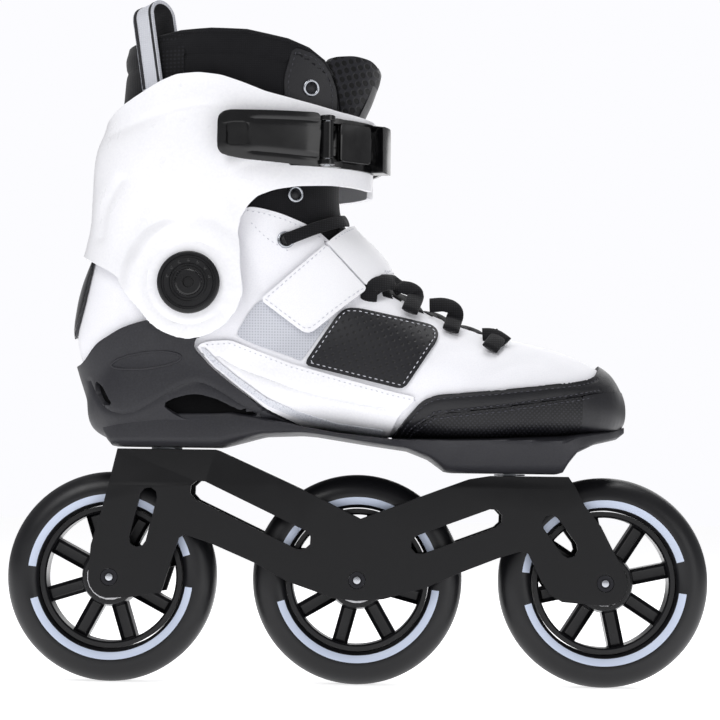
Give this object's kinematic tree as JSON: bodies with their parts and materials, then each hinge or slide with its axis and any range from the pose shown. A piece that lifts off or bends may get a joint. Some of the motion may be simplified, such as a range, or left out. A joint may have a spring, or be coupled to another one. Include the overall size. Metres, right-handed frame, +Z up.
{
  "type": "inline skate",
  "caption": "Recreational inline skate with three large wheels in line, a pressed alloy frame, a padded soft boot, a hinged ankle cuff and a lever buckle.",
  "frame": {"origin": "on the ground under the middle axle, in the frame's middle plane", "axes": "+X towards the toe, +Z up, lateral (outer) side of the right foot at -Y"},
  "size_m": [0.335, 0.1139, 0.323],
  "materials": {
    "tyre_rubber": "satin cast polyurethane",
    "hub_plastic": "satin moulded nylon",
    "bearing_steel": "ground ring",
    "axle_black": "black anodised",
    "spacer_alloy": "turned",
    "frame_black": "black anodised extrusion",
    "fastener_steel": "zinc plated",
    "sole_charcoal": "moulded, satin",
    "upper_white": "coated, matt",
    "leather_black": "grained",
    "trim_white": "coated",
    "badge_gloss": "gloss",
    "lace_black": "flat woven",
    "strap_white": "stitched webbing",
    "liner_black": "padded knit",
    "footbed_grey": "felt",
    "loop_webbing": "woven",
    "cuff_white": "moulded, semi gloss",
    "pivot_black": "satin",
    "buckle_black": "gloss",
    "pin_steel": "bright"
  },
  "bodies": {
    "chassis": {"axle_front": "axle_black", "axle_middle": "axle_black", "axle_rear": "axle_black", "bearing_front_lateral_inner_ring": "bearing_steel", "bearing_front_medial_inner_ring": "bearing_steel", "bearing_middle_lateral_inner_ring": "bearing_steel", "bearing_middle_medial_inner_ring": "bearing_steel", "bearing_rear_lateral_inner_ring": "bearing_steel", "bearing_rear_medial_inner_ring": "bearing_steel", "footbed": "footbed_grey", "frame": "frame_black", "heel_badge": "badge_gloss", "heel_cup_and_sole": "sole_charcoal", "instep_strap": "strap_white", "laces": "lace_black", "liner_foot": "liner_black", "mount_bolt_front": "fastener_steel", "mount_bolt_rear": "fastener_steel", "mount_washer_front": "fastener_steel", "mount_washer_rear": "fastener_steel", "pivot_bolt_lateral": "fastener_steel", "pivot_bolt_medial": "fastener_steel", "side_trim_lateral": "trim_white", "side_trim_medial": "trim_white", "spacer_front": "spacer_alloy", "spacer_middle": "spacer_alloy", "spacer_rear": "spacer_alloy", "threaded_insert_front": "fastener_steel", "threaded_insert_rear": "fastener_steel", "toe_cap": "leather_black", "tongue_lower": "liner_black", "upper": "upper_white", "vent_patch_lateral": "leather_black", "vent_patch_medial": "leather_black"},
    "wheel_rear": {"tyre_rear": "tyre_rubber", "hub_rear": "hub_plastic", "bearing_rear_lateral_outer_ring": "bearing_steel", "bearing_rear_medial_outer_ring": "bearing_steel"},
    "wheel_middle": {"tyre_middle": "tyre_rubber", "hub_middle": "hub_plastic", "bearing_middle_lateral_outer_ring": "bearing_steel", "bearing_middle_medial_outer_ring": "bearing_steel"},
    "wheel_front": {"tyre_front": "tyre_rubber", "hub_front": "hub_plastic", "bearing_front_lateral_outer_ring": "bearing_steel", "bearing_front_medial_outer_ring": "bearing_steel"},
    "cuff": {"cuff": "cuff_white", "pivot_cap_lateral": "pivot_black", "pivot_cap_medial": "pivot_black", "liner_collar": "liner_black", "tongue_upper": "liner_black", "pull_loop": "loop_webbing", "buckle_base": "buckle_black", "buckle_pin": "pin_steel", "ladder_strap": "buckle_black", "ladder_rivet": "pin_steel"},
    "buckle_lever": {"buckle_lever": "buckle_black"},
    "buckle_pawl": {"buckle_pawl": "buckle_black"},
    "strap_tab": {"strap_tab": "strap_white"}
  },
  "joints": [
    {"name": "wheel_spin_rear", "type": "hinge", "parent": "chassis", "child": "wheel_rear", "pos_m": [-0.1175, 0, 0.05], "axis": [0, 1, 0], "continuous": true},
    {"name": "wheel_spin_middle", "type": "hinge", "parent": "chassis", "child": "wheel_middle", "pos_m": [0, 0, 0.05], "axis": [0, 1, 0], "continuous": true},
    {"name": "wheel_spin_front", "type": "hinge", "parent": "chassis", "child": "wheel_front", "pos_m": [0.1175, 0, 0.05], "axis": [0, 1, 0], "continuous": true},
    {"name": "cuff_flex", "type": "hinge", "parent": "chassis", "child": "cuff", "pos_m": [-0.0795, 0, 0.1876], "axis": [0, 1, 0], "range_deg": [-4, 10]},
    {"name": "buckle_lever_open", "type": "hinge", "parent": "cuff", "child": "buckle_lever", "pos_m": [-0.016, -0.04997, 0.2546], "axis": [0, 0, 1], "range_deg": [0, 100]},
    {"name": "buckle_pawl_release", "type": "hinge", "parent": "cuff", "child": "buckle_pawl", "pos_m": [0.002, -0.0318, 0.2546], "axis": [0, 0, 1], "range_deg": [0, 7], "stiffness_Nm_per_rad": 0.05},
    {"name": "strap_tab_peel", "type": "hinge", "parent": "chassis", "child": "strap_tab", "pos_m": [-0.01, -0.036, 0.2004], "axis": [-0.6847, -0.1739, 0.7077], "range_deg": [0, 100]}
  ]
}
